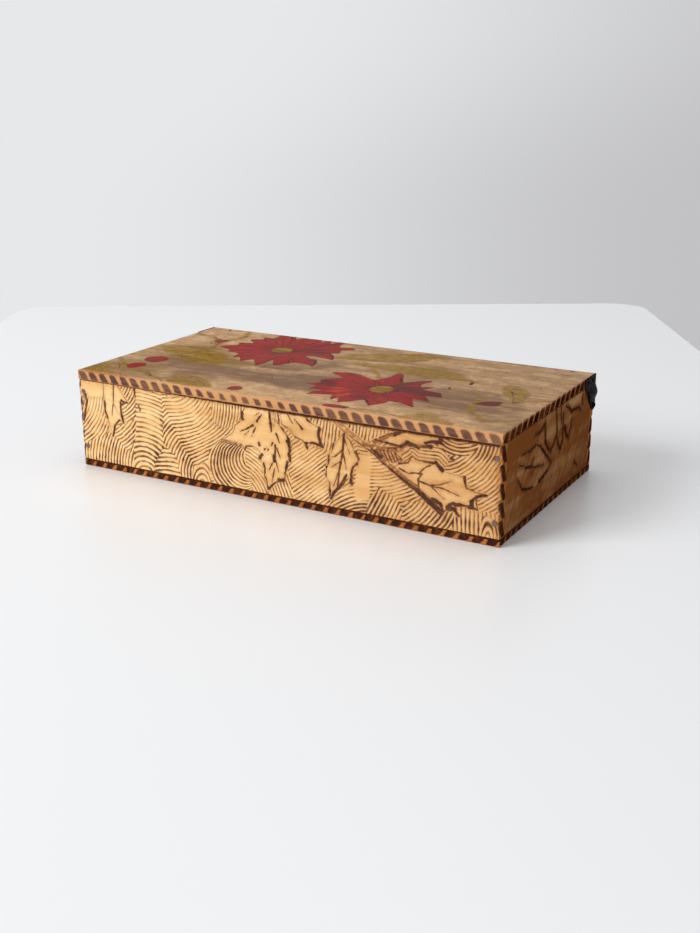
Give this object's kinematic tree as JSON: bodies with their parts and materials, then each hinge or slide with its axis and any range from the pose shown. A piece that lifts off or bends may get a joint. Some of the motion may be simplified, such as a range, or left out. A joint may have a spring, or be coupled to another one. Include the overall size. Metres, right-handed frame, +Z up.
{
  "type": "pyrography box",
  "caption": "Long low wooden box of nailed thin boards with a flat lid that swings on bowed steel ear plates pinned to the back board.",
  "frame": {"origin": "centre of the box's underside", "axes": "+X along the length to the right end, -Y out of the front, +Z up through the lid"},
  "size_m": [0.2968, 0.148, 0.0642],
  "materials": {
    "lid_wood": "aged basswood, painted and burnt, worn satin varnish",
    "wall_wood": "burnt basswood under amber satin varnish",
    "end_wood": "toned brown basswood under satin varnish",
    "base_wood": "raw basswood underneath, burnt at the edge",
    "hinge_steel": "blackened steel, worn bright on the bow",
    "nail_steel": "dull oxidised wire steel"
  },
  "bodies": {
    "box": {"front_board": "wall_wood", "back_board": "wall_wood", "left_end_board": "end_wood", "right_end_board": "end_wood", "base_board": "base_wood", "left_pivot_nail": "hinge_steel", "right_pivot_nail": "hinge_steel", "front_nails_left": "nail_steel", "front_nails_right": "nail_steel", "back_nails_left": "nail_steel", "back_nails_right": "nail_steel", "base_nails_front": "nail_steel", "base_nails_back": "nail_steel", "base_nails_left": "nail_steel", "base_nails_right": "nail_steel"},
    "lid": {"lid_board": "lid_wood", "left_hinge_plate": "hinge_steel", "right_hinge_plate": "hinge_steel", "left_hinge_tacks": "hinge_steel", "right_hinge_tacks": "hinge_steel"}
  },
  "joints": [
    {"name": "lid_hinge", "type": "hinge", "parent": "box", "child": "lid", "pos_m": [0, 0.0708, 0.0445], "axis": [-1, 0, 0], "range_deg": [0, 150]}
  ]
}
